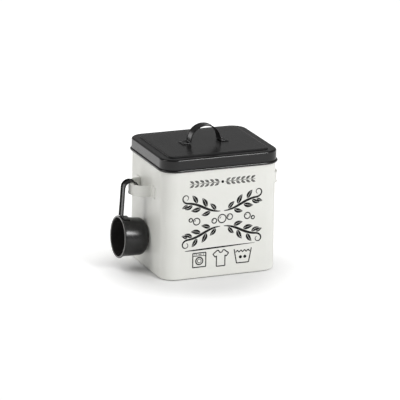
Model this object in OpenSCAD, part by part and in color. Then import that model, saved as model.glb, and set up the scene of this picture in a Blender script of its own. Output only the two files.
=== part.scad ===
// Sheet-steel powder box with a lift-off lid, three bent strap handles and a hanging scoop.
// Millimetres, +Z up. The origin is the centre of the box's underside; the front faces -Y.

/* [Box] */
// Width of the box over its side walls
box_w = 185; // [150:1:230]
// Depth of the box from front wall to back wall
box_d = 155.4; // [130:0.2:200]
// Height of the box to the top of its rolled rim
box_h = 187.5; // [160:0.5:240]
// Radius of the upright corners, outside
corner_r = 22; // [14:0.5:32]
// Thickness of the sheet of walls, base and lid
sheet = 0.6; // [0.4:0.05:0.9]
// Radius of the rim rolled inwards at the top of the wall
rim_r = 1.6; // [1.2:0.1:2.4]
// Height of the wall's foot above the ground
wall_lift = 1.1; // [0.5:0.1:2]
// Outside radius of the bend at the foot of the wall
foot_bend = 1.6; // [1:0.1:2.4]
// Width of the lip turned in under the wall, which is welded to the base
lip_w = 3; // [2.8:0.1:6]
// Width of the upright lock seam inside the back wall
seam_w = 7; // [4:0.5:12]
// Depth of the lock seam's fold, inwards from the wall
seam_fold = 1.2; // [0.6:0.1:2]
// Width of the seam's closing groove, seen from outside
groove_w = 0.5; // [0.3:0.1:1]
// Depth of the seam's closing groove
groove_depth = 0.25; // [0.1:0.05:0.3]

/* [Base] */
// Height of the base plate's top above the ground
base_rise = 6; // [4.5:0.5:12]
// Outside radius of the bend between base plate and its flange
base_bend = 2.4; // [1.5:0.1:3]
// Width of the foot turned in under the base's flange
base_foot = 2.6; // [1.5:0.1:6]

/* [Lid] */
// Height of the lid's side, from its top edge to the foot of its bead
lid_h = 19.8; // [14:0.2:30]
// Gap between the lid's side and the box wall
lid_gap = 0.75; // [0.5:0.05:1.2]
// Gap between the lid's underside and the box's rim
lid_seat_gap = 0.3; // [0.2:0.05:0.6]
// Outside radius of the lid's top edge
lid_edge_r = 2.6; // [1.4:0.1:4]
// Outside radius of the bead rolled outwards at the foot of the lid
bead_r = 2.1; // [1.5:0.1:3]
// Width of the flat border round the raised panel
panel_border = 13; // [8:0.5:24]
// Radius of the panel's corners at its foot
panel_corner_r = 9; // [5:0.5:16]
// Inside radius of the bend at the foot of the panel
panel_foot_r = 0.3; // [0.2:0.05:0.6]
// Inside radius of the bend at the panel's edge
panel_edge_r = 0.8; // [0.5:0.1:1.6]

/* [Handles] */
// Outside radius of a handle's half-round loop
loop_r = 24.1; // [18:0.1:32]
// Width of the handle strap, over its rolled edges
strap_w = 17.4; // [12:0.2:26]
// Thickness of the handle strap
strap_t = 1; // [0.8:0.1:1.4]
// Radius of the strap's rolled edges
strap_edge_r = 0.85; // [0.7:0.05:1.1]
// Inside radius of the bend between loop and foot
strap_bend = 1.8; // [1.5:0.1:3]
// Length of the flat foot beyond the bend
foot_len = 11.5; // [9:0.5:18]
// Height of the side handles' middle above the ground
side_handle_z = 127.6; // [90:0.2:150]
// Distance between the two weld spots of a foot, across the strap
weld_pitch = 8; // [5:0.5:11]
// Radius of the electrode that pressed a weld spot
weld_r = 2.4; // [1.6:0.1:4]
// Depth of a weld spot
weld_depth = 0.55; // [0.2:0.05:0.7]

/* [Scoop] */
// Outside diameter of the cup under its rim
cup_d = 60; // [46:0.2:76]
// Outside diameter of the cup at its base, where the wall would meet it
cup_base_d = 56.6; // [44:0.2:74]
// Depth of the cup from base to rim, outside
cup_depth = 42; // [30:0.5:60]
// Outside radius of the bend between the cup's wall and base
cup_bend = 9.6; // [5:0.2:13]
// Thickness of the cup's sheet
cup_sheet = 0.7; // [0.5:0.05:1]
// Outside radius of the cup's rolled rim
cup_rim_r = 1.6; // [1.2:0.05:2.4]
// Distance from the cup's axis to the middle of the hook
scoop_reach = 77; // [66:0.5:100]
// Width of the scoop's handle strip, over its rolled edges
strip_w = 16.4; // [11:0.2:20]
// Thickness of the strip's sheet
strip_t = 0.8; // [0.6:0.05:1.1]
// Radius of the strip's rolled edges
strip_edge_r = 1.2; // [0.8:0.05:1.5]
// Radius of the hook, to the strip's outer face
hook_r = 10.5; // [8:0.1:13]
// Length of the hook's straight end
hook_tail = 2; // [0.5:0.5:8]
// Length of the strip's foot along the cup
strip_foot_len = 9.5; // [6:0.5:14]
// Outside radius of the bend between strip and foot
strip_bend = 2.2; // [1.6:0.1:3.5]
// Gap between the strip and the cup's rolled rim
strip_rim_gap = 0.5; // [0.2:0.1:1.5]
// Film between the strip's foot and the cup
foot_gap = 0.1; // [0.05:0.05:0.2]
// Place of the scoop along the left handle, from the middle of the wall
scoop_y = 5; // [0:0.5:8]
// Gap where the hanging scoop rests on the handle and against the wall
rest_gap = 0.25; // [0.15:0.05:0.3]

/* [Hidden] */
$fn = 64;
eps = 0.01;
white_enamel = "#E6E6E1";
black_enamel = "#2B2A2B";
// Angles at which the rolled edges stop short of closing
rim_roll = 285;
bead_roll = 80;
cup_rim_roll = 262;
// Box
rim_z = box_h - rim_r;
seam_foot = base_rise + eps;
seam_top = rim_z - rim_r;
// Lid, measured outwards from the box wall
lid_top = box_h + lid_seat_gap + sheet;
lid_out = lid_gap + sheet;
bead_z = lid_top - lid_h + bead_r;
border_z = lid_top - sheet;
panel_w = box_w + 2*lid_out - 2*panel_border;
panel_d = box_d + 2*lid_out - 2*panel_border;
panel_inset = panel_foot_r + sheet + panel_edge_r;
panel_top = lid_top + panel_inset;
// Handles, measured from the face that carries them
loop_z = strap_t + strap_bend;
bend_x = loop_r + strap_bend;
foot_end = bend_x + foot_len;
// Scoop, with the cup's axis along z, its mouth up and its handle towards +x
cup_taper = atan((cup_d - cup_base_d)/2/cup_depth);
bend_c = cup_base_d/2 - cup_bend/cos(cup_taper) + cup_bend*tan(cup_taper);
mouth_z = cup_depth - cup_rim_r;
function cup_radius(z) = cup_base_d/2 + z*tan(cup_taper);
strip_z = cup_depth - 2*cup_rim_r - strip_rim_gap;
strip_seat = cup_radius(strip_z) + foot_gap;
hook_z = strip_z - hook_r;
hook_in = hook_r - strip_t;
// Where the hook crosses the left handle: how far out the loop stands under each edge of the strip
function loop_out(y) = loop_z + sqrt(pow(loop_r - strap_t/2, 2) - y*y);
out_near = loop_out(scoop_y - strip_w/2);
out_far = loop_out(scoop_y + strip_w/2);
hang_x = -box_w/2 - (out_near + out_far)/2;
hang_drop = sqrt(pow(hook_in, 2) - pow((out_near - out_far)/2 + strap_edge_r, 2));
hang_z = side_handle_z + strap_w/2 + rest_gap - hang_drop;
// The scoop hangs by its hook and leans with the top of its base on the wall
lean_x = -box_w/2 - rest_gap - cup_bend;
lean_arm = [scoop_reach - bend_c, hook_z - cup_bend];
scoop_tilt = asin((hang_x - lean_x)/norm(lean_arm)) + atan2(lean_arm[1], lean_arm[0]);

// Rounded rectangle
module round_rect(w, d, r) {
    square([w - 2*r, d], center = true);
    square([w, d - 2*r], center = true);
    for (x = [-1, 1], y = [-1, 1])
        translate([x*(w/2 - r), y*(d/2 - r)]) circle(r);
}

// Quarter of a bent sheet of thickness t, outside radius r, in the quadrant from angle a
module bend_section(r, t, a) {
    rotate(a) intersection() {
        difference() {
            circle(r);
            circle(r - t);
        }
        square(2*r);
    }
}

// Rolled edge: a ring of sheet from angle a0, open for the last part of its turn
module roll_section(r, t, a0, turn) {
    reach = 4*r;
    rotate(a0) difference() {
        circle(r);
        circle(r - t);
        polygon([[0, 0], [reach*cos(turn), reach*sin(turn)],
                 if (turn < 180) [-reach, -reach], [reach, -reach], [reach, 0]]);
    }
}

// Carries a section (x outwards, y up) round a rounded rectangle
module around(w, d, r) {
    for (side = [0, 1]) rotate(180*side) {
        translate([w/2, 0]) rotate([90, 0, 0]) linear_extrude(d - 2*r, center = true) children();
        translate([0, d/2]) rotate([90, 0, 90]) linear_extrude(w - 2*r, center = true) children();
        translate([w/2 - r, d/2 - r]) rotate_extrude(angle = 90) translate([r, 0]) children();
        translate([-w/2 + r, d/2 - r]) rotate(90) rotate_extrude(angle = 90) translate([r, 0]) children();
    }
}

// Wall wrapped from one sheet: rolled rim, lip turned in at its foot, lock seam up the back
module body_shell() {
    inner_r = corner_r - sheet;
    wall_z = wall_lift + foot_bend;
    color(white_enamel) difference() {
        union() {
            translate([0, 0, wall_z]) linear_extrude(rim_z - wall_z) difference() {
                round_rect(box_w, box_d, corner_r);
                round_rect(box_w - 2*sheet, box_d - 2*sheet, inner_r);
            }
            translate([0, 0, wall_lift]) linear_extrude(sheet) difference() {
                round_rect(box_w - 2*foot_bend, box_d - 2*foot_bend, corner_r - foot_bend);
                round_rect(box_w - 2*lip_w, box_d - 2*lip_w, corner_r - lip_w);
            }
            around(box_w, box_d, corner_r) {
                translate([-foot_bend, wall_z]) bend_section(foot_bend, sheet, -90);
                translate([-rim_r, rim_z]) roll_section(rim_r, sheet, 0, rim_roll);
            }
            translate([-seam_w/2, box_d/2 - sheet - seam_fold, seam_foot])
                cube([seam_w, seam_fold + sheet/2, seam_top - seam_foot]);
        }
        translate([seam_w/2 - groove_w, box_d/2 - groove_depth, wall_z])
            cube([groove_w, sheet, rim_z - wall_z]);
    }
}

// Base pressed as a shallow pan, upside down: its flange is held by the wall's lip and stands on
// the ground with a foot turned in
module base_pan() {
    w = box_w - 2*lip_w;
    d = box_d - 2*lip_w;
    r = corner_r - lip_w;
    color(white_enamel) {
        around(w, d, r) {
            translate([-base_foot, 0]) square([base_foot, sheet]);
            translate([-sheet, 0]) square([sheet, base_rise - base_bend]);
            translate([-base_bend, base_rise - base_bend]) bend_section(base_bend, sheet, 0);
        }
        translate([0, 0, base_rise - sheet]) linear_extrude(sheet)
            round_rect(w - 2*base_bend, d - 2*base_bend, r - base_bend);
    }
}

// Section of the lid's side: rounded top edge, straight skirt, bead rolled outwards at the foot
module skirt_section() {
    translate([lid_out - lid_edge_r, lid_top - lid_edge_r]) bend_section(lid_edge_r, sheet, 0);
    translate([lid_gap, bead_z - bead_r + sheet])
        square([sheet, lid_top - lid_edge_r - bead_z + bead_r - sheet]);
    translate([lid_out, bead_z - bead_r + sheet]) intersection() {
        circle(sheet);
        translate([-sheet, -sheet]) square(sheet);
    }
    translate([lid_out, bead_z]) roll_section(bead_r, sheet, -90, 90 + bead_roll);
}

// Section of the step up to the raised panel
module step_section() {
    translate([0, lid_top + panel_foot_r]) bend_section(panel_foot_r + sheet, sheet, 180);
    translate([-panel_inset, lid_top + panel_foot_r]) bend_section(panel_edge_r + sheet, sheet, 0);
}

// Lid pressed from one sheet, with a raised panel
module lid_cover() {
    edge_in = lid_out - lid_edge_r;
    color(black_enamel) {
        around(box_w, box_d, corner_r) skirt_section();
        translate([0, 0, border_z]) linear_extrude(sheet) difference() {
            round_rect(box_w + 2*edge_in, box_d + 2*edge_in, corner_r + edge_in);
            round_rect(panel_w, panel_d, panel_corner_r);
        }
        around(panel_w, panel_d, panel_corner_r) step_section();
        translate([0, 0, panel_top - sheet]) linear_extrude(sheet)
            round_rect(panel_w - 2*panel_inset, panel_d - 2*panel_inset, panel_corner_r - panel_inset);
    }
}

// Section of a strap of width w and thickness t: x = 0 on its outer face, edges rolled outwards
module strap_section(w, t, edge_r) {
    web = w - 2*edge_r;
    translate([-t, -web/2]) square([t, web]);
    for (side = [-1, 1])
        translate([edge_r - t + 2*eps, side*web/2]) circle(edge_r);
}

module handle_section() {
    strap_section(strap_w, strap_t, strap_edge_r);
}

module strip_section() {
    strap_section(strip_w, strip_t, strip_edge_r);
}

// Half of a handle: quarter loop, bend and spot-welded foot
module half_handle() {
    difference() {
        union() {
            translate([0, 0, loop_z]) rotate([90, 0, 0])
                rotate_extrude(angle = 90) translate([loop_r, 0]) handle_section();
            translate([bend_x, 0, loop_z]) rotate([90, 0, 0]) rotate(180)
                rotate_extrude(angle = 90) translate([strap_bend, 0]) mirror([1, 0]) handle_section();
            translate([foot_end, 0, strap_t]) rotate([0, -90, 0])
                linear_extrude(foot_len) handle_section();
        }
        for (side = [-1, 1])
            translate([bend_x + foot_len/2, side*weld_pitch/2, strap_t - weld_depth + weld_r])
                sphere(weld_r);
    }
}

// Handle bent from one strap, standing on z = 0 with its loop along x
module strap_handle() {
    half_handle();
    mirror([1, 0, 0]) half_handle();
}

module lid_handle() {
    color(black_enamel) translate([0, 0, panel_top]) strap_handle();
}

module left_handle() {
    color(white_enamel) translate([-box_w/2, 0, side_handle_z])
        rotate([0, -90, 0]) rotate(90) strap_handle();
}

module right_handle() {
    color(white_enamel) translate([box_w/2, 0, side_handle_z])
        rotate([0, 90, 0]) rotate(90) strap_handle();
}

// Puts the scoop, drawn with its cup upright, where it hangs
module hang_scoop() {
    hook_dx = scoop_reach*sin(scoop_tilt) - hook_z*cos(scoop_tilt);
    hook_dz = scoop_reach*cos(scoop_tilt) + hook_z*sin(scoop_tilt);
    translate([hang_x - hook_dx, scoop_y, hang_z - hook_dz])
        rotate([0, scoop_tilt - 90, 0]) children();
}

// Inside or outside outline of the cup, from the axis to the wall
module cup_outline(inset, top) {
    r = cup_bend - inset;
    shift = inset/cos(cup_taper);
    polygon([[0, inset], [bend_c, inset], [bend_c + r*cos(cup_taper), cup_bend - r*sin(cup_taper)],
             [cup_radius(top) - shift, top], [0, top]]);
    intersection() {
        translate([bend_c, cup_bend]) circle(r);
        square([cup_d, cup_bend]);
    }
}

// Cup drawn from one sheet, its rim rolled outwards
module cup_section() {
    difference() {
        cup_outline(0, mouth_z);
        cup_outline(cup_sheet, mouth_z + eps);
    }
    translate([cup_radius(mouth_z) - cup_sheet + cup_rim_r, mouth_z])
        mirror([1, 0]) roll_section(cup_rim_r, cup_sheet, 0, cup_rim_roll);
}

module scoop_cup() {
    color(black_enamel) hang_scoop() rotate_extrude() cup_section();
}

// Handle pressed from one strip: foot on the cup, straight grip, hook over the box's handle
module scoop_handle() {
    web = strip_w - 2*strip_edge_r;
    bend_top = strip_seat + strip_bend;
    color(black_enamel) hang_scoop() {
        translate([scoop_reach, 0, hook_z]) rotate([-90, 0, 0]) rotate(-90)
            rotate_extrude(angle = 180) translate([hook_r, 0]) strip_section();
        translate([bend_top, 0, strip_z]) rotate([0, 90, 0]) mirror([1, 0, 0])
            linear_extrude(scoop_reach - bend_top) strip_section();
        translate([scoop_reach, 0, hook_z - hook_r]) rotate([0, -90, 0])
            linear_extrude(hook_tail) mirror([1, 0]) strip_section();
        difference() {
            union() {
                translate([bend_top, 0, strip_z - strip_bend]) rotate([90, 0, 0]) rotate(90)
                    rotate_extrude(angle = 90) translate([strip_bend - strip_t, -web/2])
                        square([strip_t, web]);
                translate([strip_seat - strip_t, -strip_w/2, strip_z - strip_bend - strip_foot_len])
                    cube([2*strip_t, strip_w, strip_foot_len]);
            }
            translate([0, 0, -cup_depth])
                cylinder(h = 3*cup_depth, r1 = cup_radius(-cup_depth) + foot_gap,
                         r2 = cup_radius(2*cup_depth) + foot_gap);
        }
    }
}

body_shell();
base_pan();
lid_cover();
lid_handle();
left_handle();
right_handle();
scoop_cup();
scoop_handle();
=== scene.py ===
import math

import bpy
import numpy as np
from mathutils import Matrix, Vector


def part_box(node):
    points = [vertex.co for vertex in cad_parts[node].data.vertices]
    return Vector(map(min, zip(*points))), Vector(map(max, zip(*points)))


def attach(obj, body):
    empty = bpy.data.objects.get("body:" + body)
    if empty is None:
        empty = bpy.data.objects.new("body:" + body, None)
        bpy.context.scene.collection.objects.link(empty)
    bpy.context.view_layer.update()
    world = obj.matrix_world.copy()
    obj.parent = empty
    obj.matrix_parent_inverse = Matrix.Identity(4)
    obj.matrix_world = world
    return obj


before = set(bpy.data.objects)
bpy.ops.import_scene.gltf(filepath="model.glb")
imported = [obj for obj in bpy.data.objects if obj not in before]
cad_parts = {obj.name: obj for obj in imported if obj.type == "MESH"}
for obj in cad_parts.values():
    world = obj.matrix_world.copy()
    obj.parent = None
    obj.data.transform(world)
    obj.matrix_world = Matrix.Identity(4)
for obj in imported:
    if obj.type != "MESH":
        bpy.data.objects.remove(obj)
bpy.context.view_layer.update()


# Box: a steel wall wrapped round and locked in a seam up the back. Its turned-in lip holds a
# pressed base, whose foot stands on the ground and is painted near black next to the ground as
# painted shade. Both are sprayed satin white and baked, which leaves a faint orange peel.
class Wire:
    """A socket of a shader: arithmetic on it adds Math nodes, and node() adds any other node."""

    def __init__(self, tree, socket=None):
        self.tree = tree
        self.socket = socket

    def node(self, kind, settings=(), sockets=(), output=0):
        """Adds a node of that kind, sets its settings, then the values or links of its sockets."""
        made = self.tree.nodes.new("ShaderNode" + kind)
        for name, value in dict(settings).items():
            if name == "stops":
                for stop, (place, level) in zip(made.color_ramp.elements, value):
                    stop.position = place
                    stop.color = (level, level, level, 1)
            else:
                setattr(made, name, value)
        for name, value in dict(sockets).items():
            if isinstance(value, Wire):
                self.tree.links.new(value.socket, made.inputs[name])
            else:
                made.inputs[name].default_value = value
        return Wire(self.tree, made.outputs[output] if made.outputs else None)

    def reckon(self, operation, first, second):
        return self.node("Math", {"operation": operation}, {0: first, 1: second})

    def __add__(self, other):
        return self.reckon("ADD", self, other)

    def __radd__(self, other):
        return self.reckon("ADD", other, self)

    def __sub__(self, other):
        return self.reckon("SUBTRACT", self, other)

    def __rsub__(self, other):
        return self.reckon("SUBTRACT", other, self)

    def __mul__(self, other):
        return self.reckon("MULTIPLY", self, other)

    def __rmul__(self, other):
        return self.reckon("MULTIPLY", other, self)

    def __gt__(self, other):
        return self.reckon("GREATER_THAN", self, other)


def noise(place, scale, detail):
    """Noise from 0 to 1 on Object coordinates; scale is in waves per metre."""
    return place.node("TexNoise", (), {"Vector": place, "Scale": scale, "Detail": detail}, "Fac")


def blend(share, first, second):
    """Colour that goes from first to second as share goes from 0 to 1."""
    return share.node("Mix", {"data_type": "RGBA"}, {0: share, 6: first, 7: second}, 2)


def enamel(name, tone, cloud_tone, speck_tone, peel_height, gloss, specular, painted_marks=(), dulled=None):
    """Baked enamel: two near tones in slow clouds, rare dust specks in the coat, a gloss that
    varies a little, and a bump made of orange peel with a finer grain on it. Each pair of marks is
    a share of the surface and a tone painted there by that share, painted shade and a painted
    highlight among them, and dulled is the roughness that is added in places."""
    cloud_scale, peel_scale, grain_scale, speck_scale = 26, 520, 2300, 950
    cloud_stops = ((0.35, 0), (0.68, 1))
    speck_level, speck_strength = 0.83, 0.5
    cloud_rough, grain_rough = 0.05, 0.08
    bump_strength, grain_height = 0.35, 0.35
    material = bpy.data.materials.new(name)
    material.use_nodes = True
    tree = material.node_tree
    tree.nodes.clear()
    place = Wire(tree).node("TexCoord", (), (), "Object")
    drift = noise(place, cloud_scale, 3)
    clouds = drift.node("ValToRGB", {"stops": cloud_stops}, {"Fac": drift})
    peel = noise(place, peel_scale, 2)
    grain = noise(place, grain_scale, 1)
    specks = noise(place, speck_scale, 0) > speck_level
    colour = blend(specks * speck_strength, blend(clouds, tone, cloud_tone), speck_tone)
    # Painted tones laid over the coat, painted shade and a painted highlight among them.
    for share, mark_tone in painted_marks:
        colour = blend(share(place), colour, mark_tone)
    rough = gloss + cloud_rough * clouds + grain_rough * (grain - 0.5)
    if dulled:
        rough = rough + dulled(place)
    bump = peel.node("Bump", (), {"Strength": bump_strength, "Distance": peel_height,
                                  "Height": peel + grain_height * grain})
    shader = colour.node("BsdfPrincipled", (), {
        "Base Color": colour, "Roughness": rough, "Normal": bump, "Specular IOR Level": specular})
    shader.node("OutputMaterial", (), {"Surface": shader})
    return material


def foot_shade(place):
    """Share of the base's foot that carries painted shade along the ground: most of it next to the
    ground, and none of it at the foot's top, 2.6 mm higher up."""
    shade_z, unshaded_z, most_shade = 0.0012, 0.0026, 0.9
    height = place.node("SeparateXYZ", (), {0: place}, "Z")
    return height.node("MapRange", (), {"Value": height, "From Min": shade_z, "From Max": unshaded_z,
                                        "To Min": most_shade, "To Max": 0.0})


white_coat = dict(tone=(0.80, 0.803, 0.765, 1), cloud_tone=(0.775, 0.777, 0.737, 1),
                  speck_tone=(0.60, 0.59, 0.55, 1), peel_height=0.00006, gloss=0.42, specular=0.5)
# Near black for the base's foot next to the ground: painted shade in the gap under the box.
foot_shade_tone = (0.07, 0.07, 0.068, 1)
white_enamel = enamel("white_enamel", **white_coat)
base_enamel = enamel("base_enamel", **white_coat, painted_marks=[(foot_shade, foot_shade_tone)])
for piece, coat in (("body_shell", white_enamel), ("base_pan", base_enamel)):
    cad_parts[piece].data.materials.clear()
    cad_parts[piece].data.materials.append(coat)


# Side handles: straps with rolled edges, bent to a half-round loop and spot-welded to the side
# walls before spraying, so that they carry the same white coat as the box.
for piece in ("left_handle", "right_handle"):
    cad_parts[piece].data.materials.clear()
    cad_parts[piece].data.materials.append(white_enamel)


# Front print: black ink screened on the enamel in a film thinner than paper. Leaf scrolls round a
# few soap bubbles, under a leaf garland; below them a tapered rule and three laundry signs. Paths
# and widths are in millimetres on the front wall, x to the right and z up from the ground.
wall_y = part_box("body_shell")[0].y
ink_film = 0.00008
ink_root = 0.00004
edge_share = 0.86
mm = 0.001


def ink_mesh(name, strokes):
    """Strokes of ink on the front wall. Each is a path (x, z) with a width along it; a ring of six
    points, flat in front and rooted in the coat, is carried along the path at right angles."""
    across = np.array([-1, -edge_share, edge_share, 1, edge_share, -edge_share]) / 2
    depth = np.array([0, -ink_film, -ink_film, 0, ink_root, ink_root])
    around = len(across)
    corner = np.arange(around)
    following = (corner + 1) % around
    cap = np.array([[0, 1, 2, 3], [0, 3, 4, 5]])
    points, faces, first = [], [], 0
    for x, z, width, closed in strokes:
        count = len(x)
        if closed:
            run = (np.roll(x, -1) - np.roll(x, 1), np.roll(z, -1) - np.roll(z, 1))
        else:
            run = (np.gradient(x), np.gradient(z))
        length = np.hypot(*run)
        side_x, side_z = -run[1] / length, run[0] / length
        reach = np.broadcast_to(width, (count,))[:, None] * across
        hoops = np.stack((x[:, None] + side_x[:, None] * reach,
                          np.broadcast_to(depth / mm, (count, around)),
                          z[:, None] + side_z[:, None] * reach), axis=2)
        points.append(hoops.reshape(-1, 3))
        row = np.arange(count if closed else count - 1)[:, None]
        here, there = first + around * row, first + around * ((row + 1) % count)
        faces.append(np.stack((here + corner, there + corner, there + following,
                               here + following), axis=2).reshape(-1, 4))
        if not closed:
            faces.append(first + cap)
            faces.append(first + around * (count - 1) + cap[:, ::-1])
        first += around * count
    points = np.concatenate(points) * mm
    points[:, 1] += wall_y
    mesh = bpy.data.meshes.new(name)
    mesh.from_pydata(points.tolist(), [], np.concatenate(faces).tolist())
    piece = bpy.data.objects.new(name, mesh)
    bpy.context.scene.collection.objects.link(piece)
    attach(piece, "box")
    return piece


def walk(x, z, heading, length):
    """Path of a given length from (x, z): the running sum of equal steps along the headings."""
    middle = (heading[1:] + heading[:-1]) / 2
    step = length / len(middle)
    return (x + step * np.concatenate(([0], np.cumsum(np.cos(middle)))),
            z + step * np.concatenate(([0], np.cumsum(np.sin(middle)))))


def leaf(x, z, heading, bend, length, width):
    """Two half-leaves beside a bent midrib that is left blank: each is a half-sine wide, fuller
    towards its stalk, and lies half its own width from the rib."""
    vein, tip = 0.3, 0.1
    share = np.linspace(0, 1, 26)
    turn = heading + bend * share
    rib_x, rib_z = walk(x, z, turn, length)
    half = tip + width / 2 * np.sin(np.pi * share ** 0.8)
    for side in (-1, 1):
        out = side * (vein + half) / 2
        yield rib_x - np.sin(turn) * out, rib_z + np.cos(turn) * out, half, False


def scroll(x, z, heading, length, flip, leaves):
    """Leafy stem whose heading swings in a sine and winds up into a curl at its end; the stem is
    thickest near its foot, and each leaf stands off it at the given share of its length."""
    swing, curl_from, curl_turn = 0.46, 0.62, 6.4
    stem_thin, stem_swell = 0.9, 3.0
    leaf_gap, leaf_lean, leaf_bend, leaf_slim = 0.6, 0.95, -0.6, 0.43
    share = np.linspace(0, 1, 120)
    curl = np.clip((share - curl_from) / (1 - curl_from), 0, 1)
    turn = heading + flip * (swing * np.sin(1.5 * np.pi * share) + curl_turn * curl ** 1.5)
    stem_x, stem_z = walk(x, z, turn, length)
    width = stem_thin + stem_swell * np.sin(np.pi * share ** 0.7) ** 1.2
    yield stem_x, stem_z, width, False
    for where, side, size in leaves:
        at = int(where * (len(share) - 1))
        hand = side * flip
        off = hand * (width[at] / 2 + leaf_gap)
        yield from leaf(stem_x[at] - math.sin(turn[at]) * off,
                        stem_z[at] + math.cos(turn[at]) * off,
                        turn[at] + leaf_lean * hand, leaf_bend * hand, size, leaf_slim * size)


def dot(x, z, radius):
    """Round dot: a straight stroke as wide as the circle is at each place along it."""
    blunt, count = 0.06, 21
    angle = np.linspace(blunt, math.pi - blunt, count)
    return x - radius * np.cos(angle), np.full(count, z), 2 * radius * np.sin(angle), False


def ring(x, z, radius, width):
    """Circle drawn with a pen of one width."""
    angle = np.linspace(0, 2 * math.pi, 48, endpoint=False)
    return x + radius * np.cos(angle), z + radius * np.sin(angle), width, True


def bubble(x, z, radius):
    """Soap bubble: a ring with a short glint inside it that thins out at both ends."""
    bubble_pen, glint_share, glint_thin, glint_swell = 1.7, 0.56, 0.2, 1.0
    glint_from, glint_to, count = 1.9, 3.2, 14
    yield ring(x, z, radius, bubble_pen)
    angle = np.linspace(glint_from, glint_to, count)
    glint_r = glint_share * radius
    yield (x + glint_r * np.cos(angle), z + glint_r * np.sin(angle),
           glint_thin + glint_swell * np.sin(np.linspace(0, math.pi, count)), False)


scroll_foot_x, scroll_length = 3, 86
scroll_leaves = ((0.10, 1, 14), (0.19, -1, 15), (0.29, 1, 16), (0.38, -1, 16), (0.48, 1, 15),
                 (0.56, -1, 13.5), (0.65, -1, 10.5))
bubbles = ((0, 90.8, 6.4), (-12.5, 88.5, 3.8), (12.5, 92.5, 4.4), (-41, 90, 5.2),
           (41, 91.5, 4.8), (-50.5, 93, 2.8), (50, 88, 2.6))
scrolls = []
for foot_z, rise in ((103, 1), (79, -1)):
    for outward, heading in ((1, 0.0), (-1, math.pi)):
        scrolls += scroll(scroll_foot_x * outward, foot_z, heading, scroll_length,
                          rise * outward, scroll_leaves)
for bubble_x, bubble_z, bubble_r in bubbles:
    scrolls += bubble(bubble_x, bubble_z, bubble_r)
scroll_print = ink_mesh("scroll_print", scrolls)

garland_z, garland_dot = 148.5, 2.2
twig_x = np.linspace(4.5, 53, 40)
twig_width = np.linspace(0.9, 0.5, 40)
sprig_lean, sprig_bend, sprig_off = 0.75, -0.45, 0.9
sprig_length, sprig_width = 8.2, 2.8
garland = [dot(0, garland_z, garland_dot)]
for outward in (1, -1):
    garland.append((outward * twig_x, np.full(len(twig_x), garland_z), twig_width, False))
    for sprig_x in np.linspace(6, 46, 6):
        for side in (-1, 1):
            sprig_heading = math.pi / 2 - outward * (math.pi / 2 - sprig_lean * side)
            garland += leaf(outward * sprig_x, garland_z + sprig_off * side, sprig_heading,
                            sprig_bend * side * outward, sprig_length, sprig_width)
garland_print = ink_mesh("garland_print", garland)


def pen_line(corners, width, closed=False, bend=0.9):
    """Line through corners, each rounded off by a parabola that starts and ends a bend before
    and after it; an open line keeps its two ends."""
    corners = np.array(corners, float)
    before = np.roll(corners, 1, axis=0) - corners
    ahead = np.roll(corners, -1, axis=0) - corners
    before /= np.linalg.norm(before, axis=1)[:, None]
    ahead /= np.linalg.norm(ahead, axis=1)[:, None]
    share = np.linspace(0, 1, 9)[None, :, None]
    arcs = ((1 - share) ** 2 * (corners + bend * before)[:, None]
            + 2 * share * (1 - share) * corners[:, None]
            + share ** 2 * (corners + bend * ahead)[:, None])
    if closed:
        path = arcs.reshape(-1, 2)
    else:
        path = np.concatenate((corners[:1], arcs[1:-1].reshape(-1, 2), corners[-1:]))
    return path[:, 0], path[:, 1], width, closed


rule_x, rule_z, rule_run, rule_rise = -59.5, 45.0, 114, 2.8
rule_thin, rule_swell = 0.35, 2.1
rule_share = np.linspace(0, 1, 60)
rule_print = ink_mesh("rule_print", [
    (rule_x + rule_run * rule_share, rule_z + rule_rise * rule_share,
     rule_thin + rule_swell * np.sin(np.pi * rule_share ** 0.65) ** 0.7, False)])

pen, fine_pen = 1.75, 1.2
signs_foot, signs_top = 18.2, 40.4

washer_x, washer_half = -35.8, 10.5
washer_left, washer_right = washer_x - washer_half, washer_x + washer_half
door_z = 27.8
panel_foot, knobs_z, knob_r = signs_top - 4.6, signs_top - 2.4, 0.85
washer = [pen_line([(washer_left, signs_foot), (washer_right, signs_foot),
                    (washer_right, signs_top), (washer_left, signs_top)], pen, True),
          pen_line([(washer_left + pen / 2, panel_foot), (washer_x, panel_foot),
                    (washer_right - pen / 2, panel_foot)], fine_pen),
          ring(washer_x, door_z, 5.6, 2.0), ring(washer_x, door_z, 3.0, 1.0)]
for knob in (-7.2, -4.2, 6.6):
    washer.append(dot(washer_x + knob, knobs_z, knob_r))
washer.append(pen_line([(washer_x - 1.6, knobs_z), (washer_x + 1, knobs_z),
                        (washer_x + 3.6, knobs_z)], fine_pen))
washer_print = ink_mesh("washer_print", washer)

shirt_x, shirt_bend = -1.1, 0.85
shirt_half = np.array([(3.6, 41.2), (5.4, 41.6), (12.7, 36.0), (9.0, 31.2), (6.9, 32.8),
                       (6.9, 16.4)])
shirt_right = shirt_half + (shirt_x, 0)
shirt_left = (shirt_half * (-1, 1) + (shirt_x, 0))[::-1]
neck = np.array([(shirt_x - 2.2, 38.4), (shirt_x, 37.5), (shirt_x + 2.2, 38.4)])
shirt_print = ink_mesh("shirt_print", [
    pen_line(np.concatenate((shirt_right, shirt_left, neck)), pen, True, shirt_bend)])

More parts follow.
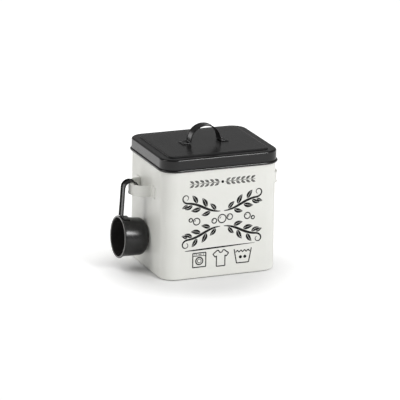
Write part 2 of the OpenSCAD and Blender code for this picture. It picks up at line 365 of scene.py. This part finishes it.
tub_x, tub_half_top, tub_half_foot = 34.6, 14.0, 9.8
wave_half, wave_z, wave_rise, waves, wave_pen = 11.6, 36.6, 1.25, 4, 1.7
drop_off, drop_z, drop_r = 3.6, 27.4, 2.5
wave_share = np.linspace(0, 1, 70)
tub_print = ink_mesh("tub_print", [
    pen_line([(tub_x - tub_half_top, signs_top), (tub_x - tub_half_foot, signs_foot),
              (tub_x + tub_half_foot, signs_foot), (tub_x + tub_half_top, signs_top)], pen),
    (tub_x + wave_half * (2 * wave_share - 1),
     wave_z - wave_rise * np.cos(2 * np.pi * waves * wave_share), wave_pen, False),
    dot(tub_x - drop_off, drop_z, drop_r), dot(tub_x + drop_off, drop_z, drop_r)])

ink_tone, ink_thin_tone = (0.005, 0.005, 0.005, 1), (0.010, 0.010, 0.0095, 1)
ink_rough, marks_rough, marks_scale, ink_specular = 0.42, 0.16, 1500, 0.2
ink = bpy.data.materials.new("print_ink")
ink.use_nodes = True
ink.node_tree.nodes.clear()
ink_place = Wire(ink.node_tree).node("TexCoord", (), (), "Object")
mesh_marks = noise(ink_place, marks_scale, 2)
ink_colour = blend(mesh_marks, ink_tone, ink_thin_tone)
ink_shader = ink_colour.node("BsdfPrincipled", (), {
    "Base Color": ink_colour, "Roughness": ink_rough + marks_rough * mesh_marks,
    "Specular IOR Level": ink_specular})
ink_shader.node("OutputMaterial", (), {"Surface": ink_shader})
for piece in (scroll_print, garland_print, rule_print, washer_print, shirt_print, tub_print):
    piece.data.materials.append(ink)


# Lid: one pressed sheet with a raised panel and a bead rolled at its foot, and a strap handle
# spot-welded to it; sprayed satin black. It lifts straight off the box. The panel's riser is
# duller than the flats on both sides of it.
black_coat = dict(tone=(0.0046, 0.0044, 0.0045, 1), cloud_tone=(0.0062, 0.0059, 0.0060, 1),
                  speck_tone=(0.030, 0.029, 0.028, 1), peel_height=0.00003)
black_specular = 0.43
border_z, panel_z, flat_skin = 0.1884, 0.1901, 0.00008


def riser_dull(place):
    """Extra roughness of the panel's riser, scuffed most along its front: it lies between the
    border's level and the panel's, and none of it is on the two flats."""
    front_y, behind_y, front_dull, other_dull = -0.064, -0.058, 0.45, 0.13
    height = place.node("SeparateXYZ", (), {0: place}, "Z")
    depth = place.node("SeparateXYZ", (), {0: place}, "Y")
    scuff = depth.node("MapRange", (), {"Value": depth, "From Min": front_y, "From Max": behind_y,
                                        "To Min": front_dull, "To Max": other_dull})
    return scuff * ((height > border_z + flat_skin) - (height > panel_z - flat_skin))


black_enamel = enamel("black_enamel", **black_coat, gloss=0.20, specular=black_specular,
                      dulled=riser_dull)
strap_enamel = enamel("strap_enamel", **black_coat, gloss=0.18, specular=black_specular)
for piece, coat in (("lid_cover", black_enamel), ("lid_handle", strap_enamel)):
    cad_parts[piece].data.materials.clear()
    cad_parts[piece].data.materials.append(coat)


# Scoop: a drawn cup with a rolled rim and a strip handle welded to it, bent to a hook that hangs
# over the left handle; black like the lid. Its rim carries a painted highlight, a light ring, and
# the cup's inside is painted a lighter black, more in some places than in others.
scoop_axis = (-0.9979, 0.0, 0.0645)
scoop_mouth = 0.1389
cup_middle = (-0.1134, 0.0050, 0.0499)
# A light grey painted highlight for the rim's crest, and a lighter black for the cup's inside.
rim_highlight_tone = (0.20, 0.195, 0.19, 1)
inside_black = (0.028, 0.026, 0.026, 1)


def rim_highlight(place):
    """Share of the cup's rim that carries a painted highlight: measured along the cup's axis it
    grows over the last millimetre before the mouth, more in some places than in others."""
    highlight_from, highlight_full = scoop_mouth - 0.0009, scoop_mouth - 0.0002
    along = place.node("VectorMath", {"operation": "DOT_PRODUCT"},
                       {0: place, 1: scoop_axis}, "Value")
    crest = along.node("MapRange", (), {"Value": along, "From Min": highlight_from,
                                        "From Max": highlight_full})
    return crest * (0.45 + 0.7 * noise(place, 140, 2))


def cup_inside(place):
    """Share of the cup painted a lighter black: its inside, which is where the surface faces the
    cup's middle, and there more in some places than in others."""
    facing = place.node("TexCoord", (), (), "Normal")
    outward = place.node("VectorMath", {"operation": "SUBTRACT"},
                         {0: place, 1: cup_middle}, "Vector")
    away = place.node("VectorMath", {"operation": "DOT_PRODUCT"},
                      {0: facing, 1: outward}, "Value")
    return (1 - (away > 0)) * (0.6 + 0.7 * noise(place, 90, 2))


cup_enamel = enamel("cup_enamel", **black_coat, gloss=0.23, specular=0.52,
                    painted_marks=[(cup_inside, inside_black), (rim_highlight, rim_highlight_tone)])
hook_enamel = enamel("hook_enamel", **black_coat, gloss=0.20, specular=black_specular)
for piece, coat in (("scoop_cup", cup_enamel), ("scoop_handle", hook_enamel)):
    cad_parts[piece].data.materials.clear()
    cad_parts[piece].data.materials.append(coat)


# Studio: a white floor that keeps the box's soft shadow, under dim surroundings with a pale
# horizon. A soft box stands to the front right, weaker ones to the left and behind, and two more
# shine from above; a long lens looks on from the front left.
floor_half = 4.0
floor_mesh = bpy.data.meshes.new("floor")
floor_mesh.from_pydata([(-floor_half, -floor_half, 0), (floor_half, -floor_half, 0),
                        (floor_half, floor_half, 0), (-floor_half, floor_half, 0)],
                       [], [(0, 1, 2, 3)])
floor = bpy.data.objects.new("floor", floor_mesh)
bpy.context.scene.collection.objects.link(floor)

white = (1, 1, 1, 1)
paper_tone = (0.90, 0.90, 0.90, 1)
shadow_middle, shadow_from, shadow_to = (-0.03, -0.04, 0), 0.08, 0.18
lift_front_y, lift_back_y, lift_front, lift_back = -0.6, 0.6, 0.20, 0.55
paper = bpy.data.materials.new("studio_floor")
paper.use_nodes = True
paper.node_tree.nodes.clear()
floor_place = Wire(paper.node_tree).node("TexCoord", (), (), "Object")
ray = floor_place.node("LightPath", (), (), "Is Camera Ray")
glossy, through = (Wire(ray.tree, ray.socket.node.outputs[kind])
                   for kind in ("Is Glossy Ray", "Is Transmission Ray"))
seen = ray.reckon("MAXIMUM", ray, ray.reckon("MAXIMUM", glossy, through))
far = floor_place.node("VectorMath", {"operation": "DISTANCE"},
                       {0: floor_place, 1: shadow_middle}, "Value")
fade = far.node("MapRange", {"interpolation_type": "SMOOTHSTEP"},
                {"Value": far, "From Min": shadow_from, "From Max": shadow_to,
                 "To Min": 0.0, "To Max": 1.0})
behind = floor_place.node("SeparateXYZ", (), {0: floor_place}, "Y")
lift = behind.node("MapRange", (), {"Value": behind, "From Min": lift_front_y,
                                    "From Max": lift_back_y, "To Min": lift_front,
                                    "To Max": lift_back})
# The glow is painted light: it fades out within 8 to 18 cm of a point to the box's front left,
# which shapes the shadow there, and it grows from the front of the floor to its back.
glow = seen.node("Emission", (), {"Color": white, "Strength": seen * fade * lift})
matt = glow.node("BsdfDiffuse", (), {"Color": paper_tone})
both = matt.node("AddShader", (), {0: matt, 1: glow})
both.node("OutputMaterial", (), {"Surface": both})
floor_mesh.materials.append(paper)

pale_below, dim_above, pale_level, dim_level = 0.05, 0.26, 0.85, 0.19
world = bpy.data.worlds.new("studio")
bpy.context.scene.world = world
world.use_nodes = True
world.node_tree.nodes.clear()
sky_place = Wire(world.node_tree).node("TexCoord", (), (), "Generated")
sky_height = sky_place.node("SeparateXYZ", (), {0: sky_place}, "Z")
horizon = sky_height.node("MapRange", {"interpolation_type": "SMOOTHSTEP"},
                          {"Value": sky_height, "From Min": pale_below, "From Max": dim_above,
                           "To Min": pale_level, "To Max": dim_level})
sky = sky_height.node("Background", (), {"Color": white, "Strength": horizon})
sky.node("OutputWorld", (), {"Surface": sky})


def add_lamp(name, kind, towards, distance, energy, **settings):
    """Lamp at that distance from the box's middle in the direction given, shining at the middle."""
    box_middle = Vector((0, 0, 0.1))
    lamp = bpy.data.lights.new(name, kind)
    lamp.energy = energy
    for setting, value in settings.items():
        setattr(lamp, setting, value)
    made = bpy.data.objects.new(name, lamp)
    direction = Vector(towards).normalized()
    made.location = box_middle + direction * distance
    made.rotation_mode = "QUATERNION"
    made.rotation_quaternion = direction.to_track_quat("Z", "Y")
    bpy.context.scene.collection.objects.link(made)
    return made


stand_off = 2.2
warm_white = (1.0, 0.985, 0.95)
add_lamp("soft_box", "AREA", (0.362, -0.774, 0.520), stand_off, 25.5, size=0.6)
add_lamp("side_box", "AREA", (-0.85, 0.05, 0.52), stand_off, 8.8, size=0.7, color=warm_white)
add_lamp("rear_box", "AREA", (-0.47, 0.87, 0.13), stand_off, 1.2, size=0.6)
overhead = add_lamp("overhead", "SUN", (0.14, 0.14, 1.0), 3.0, 0.6, angle=math.radians(80))
overhead.visible_glossy = False
floor_lamp = add_lamp("floor_lamp", "AREA", (0, 0, 1), 0.8, 3.5, size=0.6)
floor_lamp.location = (-0.50, 0.75, 0.9)
floor_lamp.visible_glossy = False

azimuth, elevation, roll = (math.radians(angle) for angle in (-22.23, 16.80, 0.94))
lens_mm, sensor_mm = 282.0, 36.0
view_distance, view_end = 4.7567, 50
view_target = Vector((-0.00443, 0.0, 0.09797))
back = Vector((math.sin(azimuth) * math.cos(elevation), -math.cos(azimuth) * math.cos(elevation),
               math.sin(elevation)))
level = Vector((math.cos(azimuth), math.sin(azimuth), 0))
upright = back.cross(level)
right = level * math.cos(roll) + upright * math.sin(roll)
up = upright * math.cos(roll) - level * math.sin(roll)
camera_data = bpy.data.cameras.new("camera")
camera_data.lens = lens_mm
camera_data.sensor_width = sensor_mm
camera_data.clip_end = view_end
camera = bpy.data.objects.new("camera", camera_data)
camera.matrix_world = Matrix((right, up, back)).transposed().to_4x4()
camera.location = view_target + back * view_distance
bpy.context.scene.collection.objects.link(camera)
bpy.context.scene.camera = camera
bpy.context.scene.view_settings.view_transform = "Standard"
